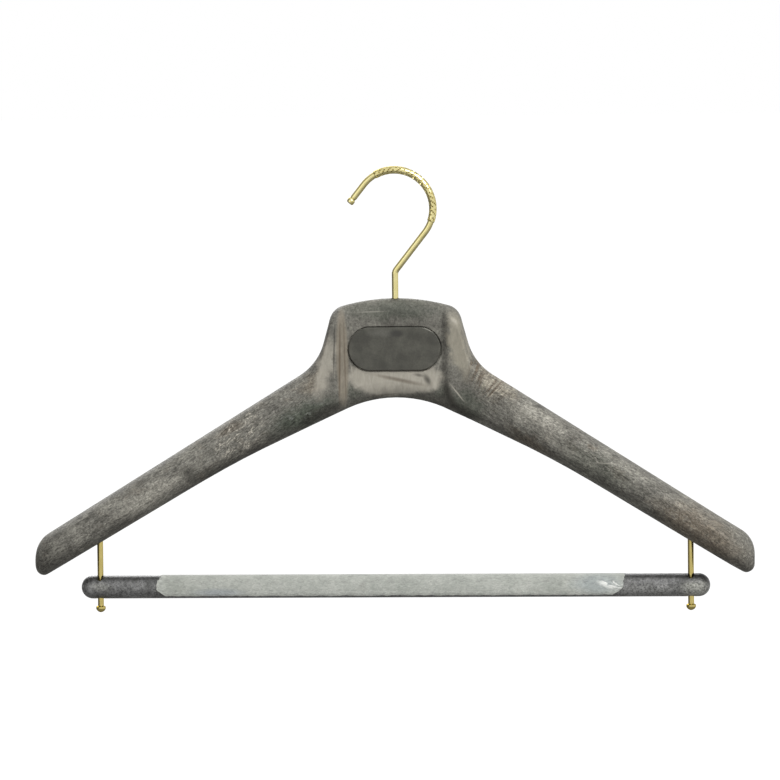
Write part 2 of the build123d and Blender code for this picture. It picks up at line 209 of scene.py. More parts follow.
for face in grip:
    spot = face.calc_center_median() - crown
    row = round(math.atan2(spot.z, spot.x) * crown_radius / dent_run)
    column = round(math.atan2(spot.y, math.hypot(spot.x, spot.z) - crown_radius)
                   / math.tau * ring_sides)
    if (column + row * dent_shift) % dent_repeat < dent_faces and row % plain_row:
        dents.append(face)
bmesh.ops.inset_region(shape, faces=dents, thickness=dent_border, depth=-dent_depth)
for face in dents:
    face.material_index = 1
hook = settle("hook_wire", shape, brass)
hook.data.materials.append(tarnish)
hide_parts("hook")
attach(hook, "hook")

# Each pin is a length of brass wire, headed cold at its foot and held in its arm by a grooved
# brass insert. The hook turns in a flanged bush, which is turned from brass and pressed into
# the neck.


def finish_with(node, material):
    """Gives a CAD node's object its real material in place of its plain one."""
    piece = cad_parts[node]
    for slot in piece.material_slots:
        slot.material = material


# The pins' brass: the hook's metal painted a deeper gold, a painted shade for the darker look the
# pins have under the arms. The inserts and the bush can't be seen there, and are given the same.
pin_brass_shaded = brass_finish("pin_brass_painted_shade", "#b3a25e", "#cdbd7d", 0.18)
for node in ("left_pin", "right_pin", "left_pin_insert", "right_pin_insert", "hook_bush"):
    finish_with(node, pin_brass_shaded)

# The thrust washer is punched from a sheet of natural nylon and sits loose on the hook's shank
# inside the neck, between the bush and the shank's head, so that the hook turns freely.
waxy_run = 3

# Natural nylon: a waxy off-white, a little uneven, with a soft sheen.
nylon, shader, place = start_material("natural_nylon")
waxy = add(nylon, "ShaderNodeTexNoise", {},
           {"Vector": place, "Scale": 1 / waxy_run, "Detail": 3})
tone = add(nylon, "ShaderNodeMix", {"data_type": "RGBA"},
           {0: waxy.outputs["Fac"], 6: linear("#d3d0c5"), 7: linear("#dedbd1")})
nylon.node_tree.links.new(tone.outputs[2], shader.inputs["Base Color"])
shader.inputs["Roughness"].default_value = 0.45
finish_with("hook_washer", nylon)

# The body is moulded in two halves from reground ABS, so its grey is marbled along the flow
# from the neck to the tips with brown, green and pale clouds and a fine fleck. The halves are
# pegged and welded together on a line round the middle of the arms.
arm_fall = 31.0

# Marbled reground ABS: a satin grey skin, clouded and flecked as mixed regrind is, with little
# shine.
body, shader, place = start_material("marbled_reground_abs")
axes = add(body, "ShaderNodeSeparateXYZ", {}, {0: place})

# The flow runs down both arms, so its pattern is drawn once and folded over to the left, where
# it is taken from elsewhere, so that the two arms differ. It fades in along each arm's root.
left_shift, root_start, root_end = 300, 30, 62
outward = add(body, "ShaderNodeMath", {"operation": "ABSOLUTE"}, {0: axes.outputs["X"]})
on_left = add(body, "ShaderNodeMath", {"operation": "LESS_THAN"}, {0: axes.outputs["X"], 1: 0})
shifted = add(body, "ShaderNodeMath", {"operation": "MULTIPLY_ADD"},
              {0: on_left.outputs[0], 1: left_shift, 2: axes.outputs["Y"]})
folded = add(body, "ShaderNodeCombineXYZ", {},
             {"X": outward.outputs[0], "Y": shifted.outputs[0], "Z": axes.outputs["Z"]})
flow = add(body, "ShaderNodeMapping", {},
           {"Vector": folded.outputs[0], "Rotation": (0, math.radians(-arm_fall), 0)})
on_arm = add(body, "ShaderNodeMapRange", {"interpolation_type": "SMOOTHSTEP"},
             {"Value": outward.outputs[0], "From Min": root_start, "From Max": root_end})

# The marks of the marbling, each by its length, depth and width in millimetres. The finest flecks
# and fibres wouldn't show, so they are drawn coarser than real.
marks = {}
for name, source, run, depth, width, detail, twist, seed in (
        ("clouds", place, 24, 20, 15, 5, 0.9, 0),
        ("streaks", flow.outputs["Vector"], 30, 12, 4, 5, 1.8, 2),
        ("brown", place, 24, 20, 14, 5, 1.4, 5),
        ("fibres", flow.outputs["Vector"], 5.0, 2.4, 1.3, 4, 1.9, 0),
        ("flecks", place, 1.5, 1.5, 1.5, 3, 0.8, 0)):
    drawn = add(body, "ShaderNodeVectorMath", {"operation": "MULTIPLY"},
                {0: source, 1: (1 / run, 1 / depth, 1 / width)})
    marks[name] = add(body, "ShaderNodeTexNoise", {"noise_dimensions": "4D"},
                      {"Vector": drawn.outputs[0], "W": seed, "Scale": 1, "Detail": detail,
                       "Roughness": 0.6, "Distortion": twist}).outputs["Fac"]
grey = add(body, "ShaderNodeValToRGB", {}, {0: marks["clouds"]})
for stop, position, tone in zip(grey.color_ramp.elements, (0.36, 0.64), ("#5b5953", "#7b7971")):
    stop.position, stop.color = position, linear(tone)
colour = grey.outputs["Color"]
for name, start, end, amount, tint in (
        ("streaks", 0.54, 0.70, 0.45, "#94928a"), ("streaks", 0.46, 0.30, 0.60, "#3f3c36"),
        ("brown", 0.54, 0.70, 0.45, "#696156")):
    share = add(body, "ShaderNodeMapRange", {"interpolation_type": "SMOOTHSTEP"},
                {"Value": marks[name], "From Min": start, "From Max": end, "To Max": amount})
    held = add(body, "ShaderNodeMath", {"operation": "MULTIPLY"},
               {0: share.outputs["Result"], 1: on_arm.outputs["Result"]})
    mixed = add(body, "ShaderNodeMix", {"data_type": "RGBA"},
                {0: held.outputs[0], 6: colour, 7: linear(tint)})
    colour = mixed.outputs[2]

# Clouds that lie where the photograph shows them. A swirl makes their edges wander.
swirl_run, swirl_aside, swirl_up = 9, 16, 12
swirl = add(body, "ShaderNodeTexNoise", {},
            {"Vector": place, "Scale": 1 / swirl_run, "Detail": 4, "Roughness": 0.6})
evened = add(body, "ShaderNodeVectorMath", {"operation": "SUBTRACT"},
             {0: swirl.outputs["Color"], 1: (0.5, 0.5, 0.5)})
drifted = add(body, "ShaderNodeVectorMath", {"operation": "MULTIPLY_ADD"},
              {0: evened.outputs[0], 1: (swirl_aside, 0, swirl_up), 2: place}).outputs[0]
tints = {"pale": "#9c998f", "light": "#a9a498", "beige": "#857d6f", "stone": "#959082",
         "brown": "#5d5346", "warm": "#6c6458", "cool": "#6d6f69", "green": "#474b42",
         "dark": "#373530"}


def patch(material, where, x, z, tilt, long, wide, soft, amount, y=0, deep=1000):
    """How much of a soft-edged oval patch shows, and the place in the patch's own frame."""
    inside = add(material, "ShaderNodeMapping", {"vector_type": "TEXTURE"},
                 {"Vector": where, "Location": (x, y, z),
                  "Rotation": (0, math.radians(-tilt), 0), "Scale": (long, deep, wide)})
    away = add(material, "ShaderNodeVectorMath", {"operation": "LENGTH"},
               {0: inside.outputs[0]})
    share = add(material, "ShaderNodeMapRange", {"interpolation_type": "SMOOTHSTEP"},
                {"Value": away.outputs["Value"], "From Min": 1.0, "From Max": soft,
                 "To Max": amount})
    return share.outputs["Result"], inside.outputs[0]


def laid_patch(material, colour, where, x, z, tilt, long, wide, soft, tint, amount, y=0, deep=1000):
    """A colour with a soft-edged oval patch of a tint laid over it."""
    share, inside = patch(material, where, x, z, tilt, long, wide, soft, amount, y, deep)
    mixed = add(material, "ShaderNodeMix", {"data_type": "RGBA"},
                {0: share, 6: colour, 7: linear(tint)})
    return mixed.outputs[2]


# Each cloud by its middle in x and z, its tilt, its half length and half width, its tint and how
# much of it shows. It is whole for a quarter of the way out, and fades from there to its edge.
cloud_core = 0.25
# The dark ones at x -100, -48, 42 and 110 run along the arms' lower edges: they are painted shade.
for x, z, tilt, long, wide, tint, amount in (
        (-212, -241, 33, 28, 15, "dark", 0.18), (-151, -200, 31, 34, 10, "pale", 0.60),
        (-128, -188, 31, 9, 6, "dark", 0.5), (-100, -181, 29, 46, 5.5, "dark", 0.5),
        (-104, -160, 31, 14, 4, "brown", 0.45), (-58, -152, 27, 32, 11, "green", 0.95),
        (-50, -130, 42, 15, 8, "beige", 0.60), (-48, -151, 25, 18, 5, "dark", 0.7),
        (46, -145, -30, 17, 11, "green", 0.65), (62, -132, -33, 22, 8, "beige", 0.60),
        (90, -155, -30, 28, 10, "pale", 0.70), (92, -147, -8, 7, 2.2, "dark", 0.5),
        (85, -170, -30, 24, 6, "brown", 0.5), (128, -184, -31, 34, 12, "green", 0.42),
        (126, -172, -31, 5, 2.5, "brown", 0.5), (192, -224, -32, 44, 18, "warm", 0.95),
        (164, -214, -31, 8, 5, "dark", 0.4), (207, -241, -31, 6, 4, "dark", 0.35),
        (110, -193, -29.5, 80, 5.5, "dark", 0.65), (42, -150, -26, 18, 5, "dark", 0.6),
        (0, -86, 0, 42, 9, "green", 0.6), (-27, -138, 20, 9, 7, "green", 0.5),
        (29, -137, -20, 8, 7, "green", 0.45)):
    colour = laid_patch(body, colour, drifted, x, z, tilt, long, wide, cloud_core, tints[tint],
                     amount)

# Thin pale lines, combed out in the flow of the melt. Each lot fills a patch, and comes with the
# length of its lines.
line_width, lot_core = 0.8, 0.4
for x, z, tilt, long, wide, run, tint, amount in (
        (-98, -162, 48, 26, 18, 9, "light", 0.9), (-150, -204, 42, 22, 10, 10, "pale", 0.6),
        (130, -180, -22, 28, 9, 12, "pale", 0.6), (-62, -150, 24, 30, 11, 10, "cool", 0.6),
        (-190, -224, 30, 30, 14, 6, "pale", 0.4), (180, -215, -35, 40, 16, 6, "pale", 0.35)):
    share, inside = patch(body, drifted, x, z, tilt, long, wide, lot_core, amount)
    drawn = add(body, "ShaderNodeVectorMath", {"operation": "MULTIPLY"},
                {0: inside, 1: (long / run, 0, wide / line_width)})
    line = add(body, "ShaderNodeTexNoise", {},
               {"Vector": drawn.outputs[0], "Scale": 1, "Detail": 2, "Distortion": 0.4})
    bright = add(body, "ShaderNodeMapRange", {"interpolation_type": "SMOOTHSTEP"},
                 {"Value": line.outputs["Fac"], "From Min": 0.52, "From Max": 0.66})
    held = add(body, "ShaderNodeMath", {"operation": "MULTIPLY"},
               {0: share, 1: bright.outputs["Result"]})
    mixed = add(body, "ShaderNodeMix", {"data_type": "RGBA"},
                {0: held.outputs[0], 6: colour, 7: linear(tints[tint])})
    colour = mixed.outputs[2]

# A fan of brown and pale lines that the photograph shows at the root of the right arm.
arm_root, rays_per_radian, ray_run, ray_depth = (37.6, 0, -164.4), 25, 11, 20
from_root = add(body, "ShaderNodeVectorMath", {"operation": "SUBTRACT"}, {0: place, 1: arm_root})
parted = add(body, "ShaderNodeSeparateXYZ", {}, {0: from_root.outputs[0]})
angle = add(body, "ShaderNodeMath", {"operation": "ARCTAN2"},
            {0: parted.outputs["Z"], 1: parted.outputs["X"]})
reach = add(body, "ShaderNodeVectorMath", {"operation": "LENGTH"}, {0: from_root.outputs[0]})
rayed = add(body, "ShaderNodeCombineXYZ", {},
            {"X": angle.outputs[0], "Y": reach.outputs["Value"], "Z": parted.outputs["Y"]})
drawn = add(body, "ShaderNodeVectorMath", {"operation": "MULTIPLY"},
            {0: rayed.outputs[0], 1: (rays_per_radian, 1 / ray_run, 1 / ray_depth)})
line = add(body, "ShaderNodeTexNoise", {},
           {"Vector": drawn.outputs[0], "Scale": 1, "Detail": 3, "Distortion": 0.3})
share, inside = patch(body, drifted, 60, -129, tilt=-38, long=27, wide=14, soft=0.4, amount=0.85)
for start, end, tint in ((0.5, 0.62, "brown"), (0.48, 0.36, "stone")):
    striped = add(body, "ShaderNodeMapRange", {"interpolation_type": "SMOOTHSTEP"},
                  {"Value": line.outputs["Fac"], "From Min": start, "From Max": end})
    held = add(body, "ShaderNodeMath", {"operation": "MULTIPLY"},
               {0: share, 1: striped.outputs["Result"]})
    mixed = add(body, "ShaderNodeMix", {"data_type": "RGBA"},
                {0: held.outputs[0], 6: colour, 7: linear(tints[tint])})
    colour = mixed.outputs[2]

# The fleck of the regrind lies over all of that, and its fibres over the arms alone.
for name, contrast in (("fibres", 0.60), ("flecks", 0.40)):
    share = add(body, "ShaderNodeMapRange", {},
                {"Value": marks[name], "From Min": 0.32, "From Max": 0.68,
                 "To Min": 1 - contrast, "To Max": 1 + contrast})
    even = share.outputs["Result"]
    if name == "fibres":
        even = add(body, "ShaderNodeMix", {},
                   {0: on_arm.outputs["Result"], 2: 1.0, 3: even}).outputs[0]
    shaded = add(body, "ShaderNodeVectorMath", {"operation": "SCALE"},
                 {0: colour, "Scale": even})
    colour = shaded.outputs["Vector"]

# The smooth flows under the badge and down the rims, and single lines and marks.
# They lie in the front skin alone, and follow it where the arms sweep forward. The swirl moves
# only the broad ones.
flow_front, flow_depth, sweep_start, sweep_slope, broad = -14, 26, 48, 0.26, 5
# Of the marks, the dark ones at (0, -79) round the hook's foot and at (35, -140) at the foot of
# are painted highlights.
# the right groove are painted shade. The light ones at (38, -92.5) and (-15, -86.8) on the crown
for x, z, tilt, long, wide, soft, tint, amount in (
        (0, -128, 0, 35, 14.5, 0.75, "light", 0.88), (-43, -121, 76, 25, 8, 0.4, "light", 0.78),
        (41, -107, -80, 28, 7.5, 0.4, "stone", 0.85), (-33, -116, 91, 38, 4.6, 0.6, "beige", 0.75),
        (-34.6, -118, 89, 40, 0.9, 0.2, "brown", 0.8),
        (-31.6, -116, 91, 36, 0.7, 0.2, "brown", 0.6),
        (-38.0, -110, 88, 26, 0.7, 0.2, "dark", 0.7), (3, -130, -12, 24, 2.0, 0.1, "brown", 0.7),
        (20.5, -130, -60, 6.5, 2.8, 0.1, "dark", 0.8), (15, -127, -10, 5, 1.6, 0.1, "dark", 0.6),
        (39.5, -138, -52, 10, 0.7, 0.1, "light", 0.8), (35, -140, -68, 12, 3.6, 0.2, "dark", 0.85),
        (-15, -86.8, 2, 14, 0.8, 0.1, "pale", 0.5), (38, -92.5, -40, 4, 2, 0.1, "light", 0.7),
        (-27, -125, -79, 9.5, 0.6, 0.1, "light", 0.7), (27, -124, 75, 10, 0.6, 0.1, "pale", 0.6),
        (-8, -139.6, 5, 14, 0.6, 0.1, "brown", 0.5), (0, -79, 0, 4.5, 1.6, 0.3, "dark", 0.8),
        (86, -149.6, -6, 8, 0.7, 0.1, "pale", 0.75), (92, -146.4, -16, 7, 1.7, 0.1, "dark", 0.6),
        (134, -181.6, -3, 13, 0.7, 0.1, "pale", 0.7), (113, -175, -29, 11, 0.8, 0.1, "pale", 0.5)):
    front = flow_front - max(abs(x) - sweep_start, 0) * sweep_slope
    colour = laid_patch(body, colour, drifted if wide > broad else place, x, z, tilt, long, wide,
                     soft, tints[tint], amount, front, flow_depth)

# Faint upright veins over the whole skin, and the grain of the mould.
vein_width, vein_depth, vein_run, grain_height = 2.4, 9, 8, 0.15
drawn = add(body, "ShaderNodeVectorMath", {"operation": "MULTIPLY"},
            {0: place, 1: (1 / vein_width, 1 / vein_depth, 1 / vein_run)})
veins = add(body, "ShaderNodeTexNoise", {},
            {"Vector": drawn.outputs[0], "Scale": 1, "Detail": 4, "Roughness": 0.65,
             "Distortion": 1.2})
share = add(body, "ShaderNodeMapRange", {},
            {"Value": veins.outputs["Fac"], "From Min": 0.3, "From Max": 0.7,
             "To Min": 0.86, "To Max": 1.14})
shaded = add(body, "ShaderNodeVectorMath", {"operation": "SCALE"},
             {0: colour, "Scale": share.outputs["Result"]})
body.node_tree.links.new(shaded.outputs["Vector"], shader.inputs["Base Color"])
satin = add(body, "ShaderNodeMapRange", {},
            {"Value": marks["streaks"], "From Min": 0.3, "From Max": 0.7,
             "To Min": 0.56, "To Max": 0.72})
body.node_tree.links.new(satin.outputs["Result"], shader.inputs["Roughness"])
grain = add(body, "ShaderNodeBump", {},
            {"Height": marks["flecks"], "Strength": 0.25, "Distance": grain_height * millimetre})
body.node_tree.links.new(grain.outputs["Normal"], shader.inputs["Normal"])
shader.inputs["Specular IOR Level"].default_value = 0.22
for node in ("front_shell", "rear_shell"):
    finish_with(node, body)

# The badge is a flat oval of dark ABS with a soft edge, pressed with two pegs into a pocket
# below the hook. It is left bare.
haze_run, speck_run, speck_height = 9, 0.9, 0.1

# Matt dark ABS: a dull charcoal, faintly cloudy and specked, with a darker and a paler cloud
# placed, and a thin pale line along its upper right edge, a painted highlight. A moulded texture
# is too fine to show, so its specks are drawn at 0.9 mm.
plate, shader, place = start_material("matt_dark_abs")
haze = add(plate, "ShaderNodeTexNoise", {},
           {"Vector": place, "Scale": 1 / haze_run, "Detail": 5})
tone = add(plate, "ShaderNodeValToRGB", {}, {0: haze.outputs["Fac"]})
for stop, position, shade in zip(tone.color_ramp.elements, (0.35, 0.65), ("#37362f", "#4b4a42")):
    stop.position, stop.color = position, linear(shade)
colour = tone.outputs["Color"]
# The third, a thin pale line along the upper right edge, is a painted highlight.
for x, z, tilt, long, wide, soft, tint, amount in (
        (-8, -100, 0, 12, 4, 0.2, "#5f5e57", 0.5), (1.5, -100.6, 0, 6, 3.2, 0.3, "#23221e", 0.8),
        (22, -98.5, -24, 9, 0.7, 0.2, "#8a887f", 0.6)):
    colour = laid_patch(plate, colour, place, x, z, tilt, long, wide, soft, tint, amount)
specks = add(plate, "ShaderNodeTexNoise", {},
             {"Vector": place, "Scale": 1 / speck_run, "Detail": 2})
share = add(plate, "ShaderNodeMapRange", {},
            {"Value": specks.outputs["Fac"], "From Min": 0.3, "From Max": 0.7,
             "To Min": 0.86, "To Max": 1.14})
shaded = add(plate, "ShaderNodeVectorMath", {"operation": "SCALE"},
             {0: colour, "Scale": share.outputs["Result"]})
plate.node_tree.links.new(shaded.outputs["Vector"], shader.inputs["Base Color"])
grain = add(plate, "ShaderNodeBump", {},
            {"Height": specks.outputs["Fac"], "Strength": 0.3,
             "Distance": speck_height * millimetre})
plate.node_tree.links.new(grain.outputs["Normal"], shader.inputs["Normal"])
shader.inputs["Roughness"].default_value = 0.55
finish_with("badge", plate)

# The trouser bar is a hollow round bar with ball ends, moulded in two halves from dark reground
# ABS. It slides on the pins through slotted holes.
haze_run, fleck_run, fleck_height = 7, 1.3, 0.2
painted_shade_top, painted_shade_end = 7.2, 0.5
bar_low, bar_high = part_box("bar_front_half")
bar_middle = (bar_low.z + bar_high.z) / 2 / millimetre

# Flecked dark ABS: a satin skin with fine pale and black flecks. By height, its top is painted far
# darker than its middle, a painted shade, and its lower half is painted a little lighter, a
# painted light.
bar, shader, place = start_material("flecked_dark_abs")
haze = add(bar, "ShaderNodeTexNoise", {"noise_dimensions": "4D"},
           {"Vector": place, "W": 3.0, "Scale": 1 / haze_run, "Detail": 4})
tone = add(bar, "ShaderNodeValToRGB", {}, {0: haze.outputs["Fac"]})
for stop, position, shade in zip(tone.color_ramp.elements, (0.35, 0.65), ("#4a4a48", "#767675")):
    stop.position, stop.color = position, linear(shade)
colour = tone.outputs["Color"]
# Pale clouds. The two at x 160 and 190 light the lower half of the right end: painted light.
for x, z, tilt, long, wide, soft, tint, amount in (
        (190, -260.5, 0, 13, 8, 0.2, "#a3a39b", 0.85), (160, -262, 0, 30, 6, 0.2, "#8f8f8c", 0.6),
        (-186, -258, 0, 9, 4, 0.2, "#86867f", 0.5)):
    colour = laid_patch(bar, colour, place, x, z, tilt, long, wide, soft, tint, amount)
flecks = add(bar, "ShaderNodeTexNoise", {},
             {"Vector": place, "Scale": 1 / fleck_run, "Detail": 4, "Roughness": 0.6,
              "Distortion": 0.8})
share = add(bar, "ShaderNodeMapRange", {},
            {"Value": flecks.outputs["Fac"], "From Min": 0.34, "From Max": 0.66,
             "To Min": 0.35, "To Max": 1.65})
axes = add(bar, "ShaderNodeSeparateXYZ", {}, {0: place})
# Painted shade: darker towards the top, and a little lighter below the middle.
painted_shading = add(bar, "ShaderNodeMapRange", {"interpolation_type": "SMOOTHSTEP"},
              {"Value": axes.outputs["Z"], "From Min": bar_middle + painted_shade_top,
               "From Max": bar_middle + painted_shade_end, "To Min": 0.22, "To Max": 1.1})
grain_and_painted_light = add(bar, "ShaderNodeMath", {"operation": "MULTIPLY"},
             {0: share.outputs["Result"], 1: painted_shading.outputs["Result"]})
shaded = add(bar, "ShaderNodeVectorMath", {"operation": "SCALE"},
             {0: colour, "Scale": grain_and_painted_light.outputs[0]})
bar.node_tree.links.new(shaded.outputs["Vector"], shader.inputs["Base Color"])
grain = add(bar, "ShaderNodeBump", {},
            {"Height": flecks.outputs["Fac"], "Strength": 0.35,
             "Distance": fleck_height * millimetre})
bar.node_tree.links.new(grain.outputs["Normal"], shader.inputs["Normal"])
shader.inputs["Roughness"].default_value = 0.42
for node in ("bar_front_half", "bar_rear_half"):
    finish_with(node, bar)

# The grip coat is short grey flock glued round the bar's middle. It stops at ragged ends and
# leaves a bare strip under the bar.
mottle_run, tuft_run, tuft_width, pile_height = 11, 2.4, 1.1, 0.25
painted_light_below, painted_light_above = 5, 4

# Grey flock: soft and matt, with a pale sheen at a slant. Like the bar's, its tone by height is
# painted light: it gets whiter towards the lower edge, and whiter still at its lowest lip. Flock's
# fibres are far too fine to show, so tufts of them are drawn.
coat, shader, place = start_material("grey_flock")
mottle = add(coat, "ShaderNodeTexNoise", {},
             {"Vector": place, "Scale": 1 / mottle_run, "Detail": 5})
tone = add(coat, "ShaderNodeValToRGB", {}, {0: mottle.outputs["Fac"]})
for stop, position, shade in zip(tone.color_ramp.elements, (0.34, 0.66), ("#9ea19a", "#b0b2ab")):
    stop.position, stop.color = position, linear(shade)
colour = tone.outputs["Color"]
for x, z, tilt, long, wide, soft, tint, amount in (
        (-111, -262, 0, 22, 4, 0.2, "#8a9096", 0.55), (-20, -258, 80, 5, 3, 0.2, "#8c8b85", 0.4),
        (128, -257, 0, 22, 9, 0.3, "#969ea0", 0.55), (-150, -258, 88, 7, 2, 0.2, "#b9bab2", 0.6),
        (-137, -258, 0, 12, 8, 0.3, "#959890", 0.5)):
    colour = laid_patch(coat, colour, place, x, z, tilt, long, wide, soft, tint, amount)
drawn = add(coat, "ShaderNodeVectorMath", {"operation": "MULTIPLY"},
            {0: place, 1: (1 / tuft_run, 1 / tuft_width, 1 / tuft_width)})
tufts = add(coat, "ShaderNodeTexNoise", {},
            {"Vector": drawn.outputs[0], "Scale": 1, "Detail": 4, "Roughness": 0.65,
             "Distortion": 1.0})
share = add(coat, "ShaderNodeMapRange", {},
            {"Value": tufts.outputs["Fac"], "From Min": 0.3, "From Max": 0.7,
             "To Min": 0.72, "To Max": 1.28})
axes = add(coat, "ShaderNodeSeparateXYZ", {}, {0: place})
# Painted light: whiter towards the lower edge, and a brighter lip at the very bottom.
painted_shading = add(coat, "ShaderNodeMapRange", {"interpolation_type": "SMOOTHSTEP"},
              {"Value": axes.outputs["Z"], "From Min": bar_middle - painted_light_below,
               "From Max": bar_middle + painted_light_above, "To Min": 1.5, "To Max": 0.92})
painted_lip_light = add(coat, "ShaderNodeMapRange", {"interpolation_type": "SMOOTHSTEP"},
             {"Value": painted_shading.outputs["Result"], "From Min": 1.3, "From Max": 1.5,
              "To Min": 1.0, "To Max": 1.3})
tufts_and_painted_light = add(coat, "ShaderNodeMath", {"operation": "MULTIPLY"},
            {0: share.outputs["Result"], 1: painted_shading.outputs["Result"]})
grain_and_painted_light = add(coat, "ShaderNodeMath", {"operation": "MULTIPLY"},
             {0: tufts_and_painted_light.outputs[0], 1: painted_lip_light.outputs["Result"]})
shaded = add(coat, "ShaderNodeVectorMath", {"operation": "SCALE"},
             {0: colour, "Scale": grain_and_painted_light.outputs[0]})

# Near the right end the flock has a wrinkled, glossier patch. The crests of its wrinkles are
# painted near white: a painted highlight.
crease_middle, crease_tilt, crease_size = (137.5, -36, -258), 12, (12, 14, 3.4)
wrinkles_along, wrinkles_up, wrinkle_height = 1.7, 1.3, 1.2
crease_frame = add(coat, "ShaderNodeMapping", {"vector_type": "TEXTURE"},
             {"Vector": place, "Location": crease_middle,
              "Rotation": (0, math.radians(crease_tilt), 0), "Scale": crease_size})
away = add(coat, "ShaderNodeVectorMath", {"operation": "LENGTH"}, {0: crease_frame.outputs[0]})
crease_share = add(coat, "ShaderNodeMapRange", {"interpolation_type": "SMOOTHSTEP"},
          {"Value": away.outputs["Value"], "From Min": 1.0, "From Max": 0.4})
drawn = add(coat, "ShaderNodeVectorMath", {"operation": "MULTIPLY"},
            {0: crease_frame.outputs[0], 1: (wrinkles_along, 0, wrinkles_up)})
wrinkles = add(coat, "ShaderNodeTexNoise", {},
               {"Vector": drawn.outputs[0], "Scale": 1, "Detail": 2, "Distortion": 1.2})
highlit_crests = add(coat, "ShaderNodeMapRange", {"interpolation_type": "SMOOTHSTEP"},
            {"Value": wrinkles.outputs["Fac"], "From Min": 0.46, "From Max": 0.58})
shown = add(coat, "ShaderNodeMath", {"operation": "MULTIPLY"},
            {0: crease_share.outputs["Result"], 1: highlit_crests.outputs["Result"]})
# Painted highlight on the wrinkle crests.
crest_highlight = add(coat, "ShaderNodeMix", {"data_type": "RGBA"},
            {0: shown.outputs[0], 6: shaded.outputs["Vector"], 7: linear("#e6e7e2")})
coat.node_tree.links.new(crest_highlight.outputs[2], shader.inputs["Base Color"])
dull = add(coat, "ShaderNodeMapRange", {},
           {"Value": crease_share.outputs["Result"], "To Min": 0.95, "To Max": 0.3})
coat.node_tree.links.new(dull.outputs["Result"], shader.inputs["Roughness"])
pile = add(coat, "ShaderNodeBump", {},
           {"Height": tufts.outputs["Fac"], "Strength": 0.35,
            "Distance": pile_height * millimetre})
ripple = add(coat, "ShaderNodeBump", {},
             {"Height": wrinkles.outputs["Fac"], "Strength": crease_share.outputs["Result"],
              "Distance": wrinkle_height * millimetre, "Normal": pile.outputs["Normal"]})
coat.node_tree.links.new(ripple.outputs["Normal"], shader.inputs["Normal"])
shader.inputs["Specular IOR Level"].default_value = 0.3
shader.inputs["Sheen Weight"].default_value = 0.35
shader.inputs["Sheen Roughness"].default_value = 0.5

# The coat is drawn as an open sleeve, from one edge of the bare strip round to the other.
coat_wall, coat_step, coat_gap, coat_sides = 0.19, 1.0, 38.7, 56
coat_left, coat_right = (corner.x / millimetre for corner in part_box("bar_grip_coat"))
bar_centre = Vector((0, bar_high.y / millimetre, bar_middle))
coat_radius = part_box("bar_grip_coat")[1].z / millimetre - bar_centre.z
lip = math.radians(coat_gap)
shape = bmesh.new()
first = bmesh.ops.create_vert(shape, co=bar_centre + Vector(
    (coat_left, -coat_radius * math.sin(lip), -coat_radius * math.cos(lip))))["vert"]
bmesh.ops.spin(shape, geom=first, cent=bar_centre, axis=(-1, 0, 0), use_duplicate=False,
               angle=math.tau - lip * 2, steps=coat_sides, use_merge=False)
rim = list(shape.edges)
for step in range(round((coat_right - coat_left) / coat_step)):
    made = bmesh.ops.extrude_edge_only(shape, edges=rim)["geom"]
    ends = [part for part in made if isinstance(part, bmesh.types.BMVert)]
    bmesh.ops.translate(shape, vec=(coat_step, 0, 0), verts=ends)
    rim = [part for part in made if isinstance(part, bmesh.types.BMEdge)
           and abs(part.verts[0].co.x - part.verts[1].co.x) < coat_step / 2
           and part.verts[0].co.x > coat_left + (step + 0.5) * coat_step]

# Both ends are set a little to the left, torn and frayed. Below a level each is drawn in towards
# the bar's foot. Higher up the left end is drawn in too, and the right end stands out. The edges
# of the bare strip stray by a slow wave and a finer jag.
left_top, left_foot, left_level, left_set = 2.2, 8.0, 0.15, 2.2
right_top, right_foot, right_level, right_set = 0.6, 9.0, 0.1, 1.0
tears_per_mm, frays_per_mm, fray_size = 0.9, 3, 0.6
stray_mean, stray_reach, wave, wave_run, jag, jag_run = 0.05, 0.35, 0.09, 5, 0.05, 1.4
for corner in shape.verts:
    x, away = corner.co.x, corner.co - bar_centre
    height = away.z / coat_radius
    under = math.acos(max(-1, min(1, -height)))
    along = (x - coat_left) / (coat_right - coat_left)
    torn, frayed = (3.1, 11) if along < 0.5 else (7.7, 5)
    ragged = noise.noise(Vector((away.y * tears_per_mm, away.z * tears_per_mm, torn)))
    ragged += fray_size * noise.noise(
        Vector((away.y * frays_per_mm, away.z * frays_per_mm, frayed)))
    left_edge = left_top * max(height, 0) ** 2 + left_foot * max(-height - left_level, 0)
    right_edge = right_top * height - right_foot * max(-height - right_level, 0)
    pull = (left_edge - left_set + ragged) * (1 - along) ** 2
    pull += (right_edge - right_set + ragged) * along ** 2
    near = max(0, 1 - (under - lip) / stray_reach)
    stray = stray_mean + wave * noise.noise(Vector((x / wave_run, away.y, 1)))
    stray += jag * noise.noise(Vector((x / jag_run, away.y, 2)))
    turned = Matrix.Rotation(math.copysign(stray * near ** 2, away.y), 3, "X") @ away
    corner.co = bar_centre + turned + Vector((pull, 0, 0))
bmesh.ops.recalc_face_normals(shape, faces=shape.faces)
bmesh.ops.solidify(shape, geom=shape.faces, thickness=coat_wall)
flock = settle("flock_coat", shape, coat)
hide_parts("bar_grip_coat")
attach(flock, "trouser_bar")

# The studio: a pale floor well below the hanging piece, a white surround, a large soft lamp high
# on the right, a weak one on the left and one behind. Shiny surfaces also mirror a dark flag on
# the left, which draws the dark line along the brass.
floor_height, floor_half = -0.62, 30
floor_mesh = bpy.data.meshes.new("studio_floor")
shape = bmesh.new()
bmesh.ops.create_grid(shape, x_segments=1, y_segments=1, size=floor_half)
bmesh.ops.translate(shape, vec=(0, 0, floor_height), verts=shape.verts)
shape.to_mesh(floor_mesh)
shape.free()
floor = bpy.data.objects.new("studio_floor", floor_mesh)
bpy.context.collection.objects.link(floor)

